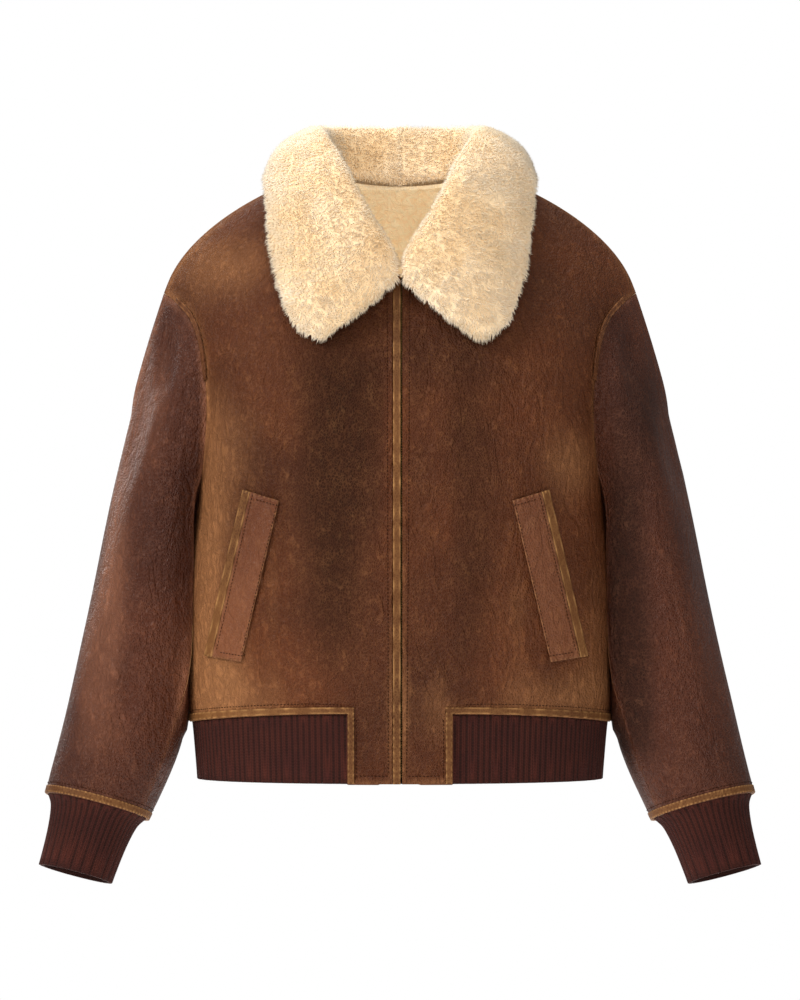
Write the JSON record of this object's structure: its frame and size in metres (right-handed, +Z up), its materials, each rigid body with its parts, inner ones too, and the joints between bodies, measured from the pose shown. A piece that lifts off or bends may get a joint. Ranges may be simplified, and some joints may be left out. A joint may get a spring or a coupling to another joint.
{
  "type": "shearling jacket",
  "caption": "Cropped shearling jacket filled out as worn, with a folded fur collar, slanted welt pockets, a hidden front zip and knitted rib at hem and cuffs.",
  "frame": {"origin": "middle of the neck opening at shoulder level, where the wearer carries the jacket", "axes": "+Z up along the wearer, +X to the wearer's left, the front faces -Y"},
  "size_m": [0.7194, 0.2653, 0.7641],
  "materials": {
    "leather": "waxed brown shearling leather, mottled, rubbed tan along edges, soft satin sheen",
    "sleeve_leather": "waxed red-brown shearling leather, rubbed lighter on the folds, soft satin sheen",
    "trim_leather": "raw tan leather edge, matt, with one row of stitches beside it",
    "rib_knit": "dark red-brown wool rib knit, matt",
    "fur": "cream shearling fur, deep and plush",
    "zip_tape": "dark brown woven zip tape"
  },
  "bodies": {
    "root": {"front_left": "leather", "front_right": "leather", "back": "leather", "sleeve_upper_left": "sleeve_leather", "sleeve_under_left": "sleeve_leather", "sleeve_upper_right": "sleeve_leather", "sleeve_under_right": "sleeve_leather", "cuff_left": "rib_knit", "cuff_right": "rib_knit", "hem_rib": "rib_knit", "front_zip": "zip_tape", "front_band": "trim_leather", "hem_tape_front_left": "trim_leather", "hem_tape_front_right": "trim_leather", "hem_tape_back": "trim_leather", "armhole_tape_front_left": "trim_leather", "armhole_tape_front_right": "trim_leather", "armhole_tape_back_left": "trim_leather", "armhole_tape_back_right": "trim_leather", "cuff_tape_left": "trim_leather", "cuff_tape_right": "trim_leather", "welt_left": "leather", "welt_strip_left": "trim_leather", "welt_right": "leather", "welt_strip_right": "trim_leather", "collar_left": "fur", "collar_right": "fur"}
  },
  "joints": []
}
